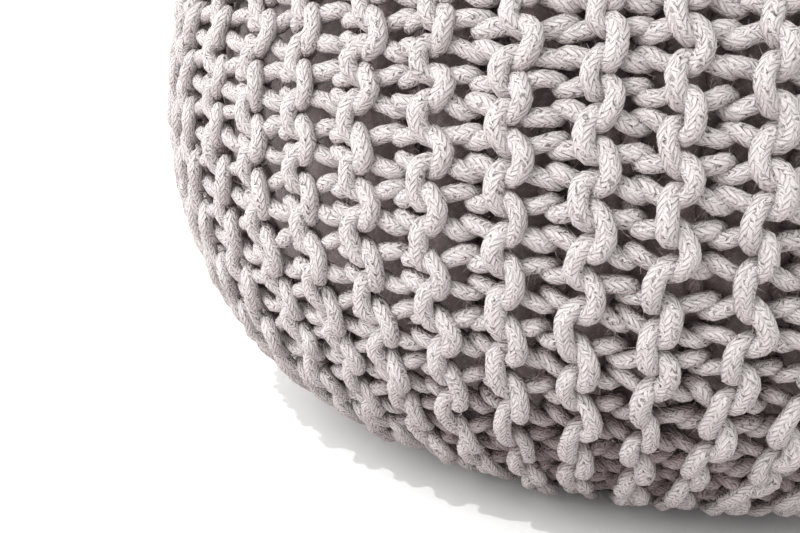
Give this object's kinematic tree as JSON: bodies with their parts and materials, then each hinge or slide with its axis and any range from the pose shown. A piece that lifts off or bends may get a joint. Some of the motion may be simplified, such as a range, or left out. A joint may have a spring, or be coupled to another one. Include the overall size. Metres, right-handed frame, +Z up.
{
  "type": "knitted pouf",
  "caption": "Round knitted cord pouf with upright garter ridges, a crowned top, drawn-in sides and a filled inner bag that shows between the stitches.",
  "frame": {"origin": "on the floor, under the middle of the foot", "axes": "+Z up through the middle of the crown, -Y towards the pictured side, +X to the right in the picture"},
  "size_m": [0.4998, 0.4998, 0.348],
  "materials": {
    "knit_cord": "matt braided cotton cord, warm light grey",
    "bag_fabric": "matt dark mauve-brown woven fabric"
  },
  "bodies": {
    "root": {"knit_cover": "knit_cord", "inner_bag": "bag_fabric"}
  },
  "joints": []
}
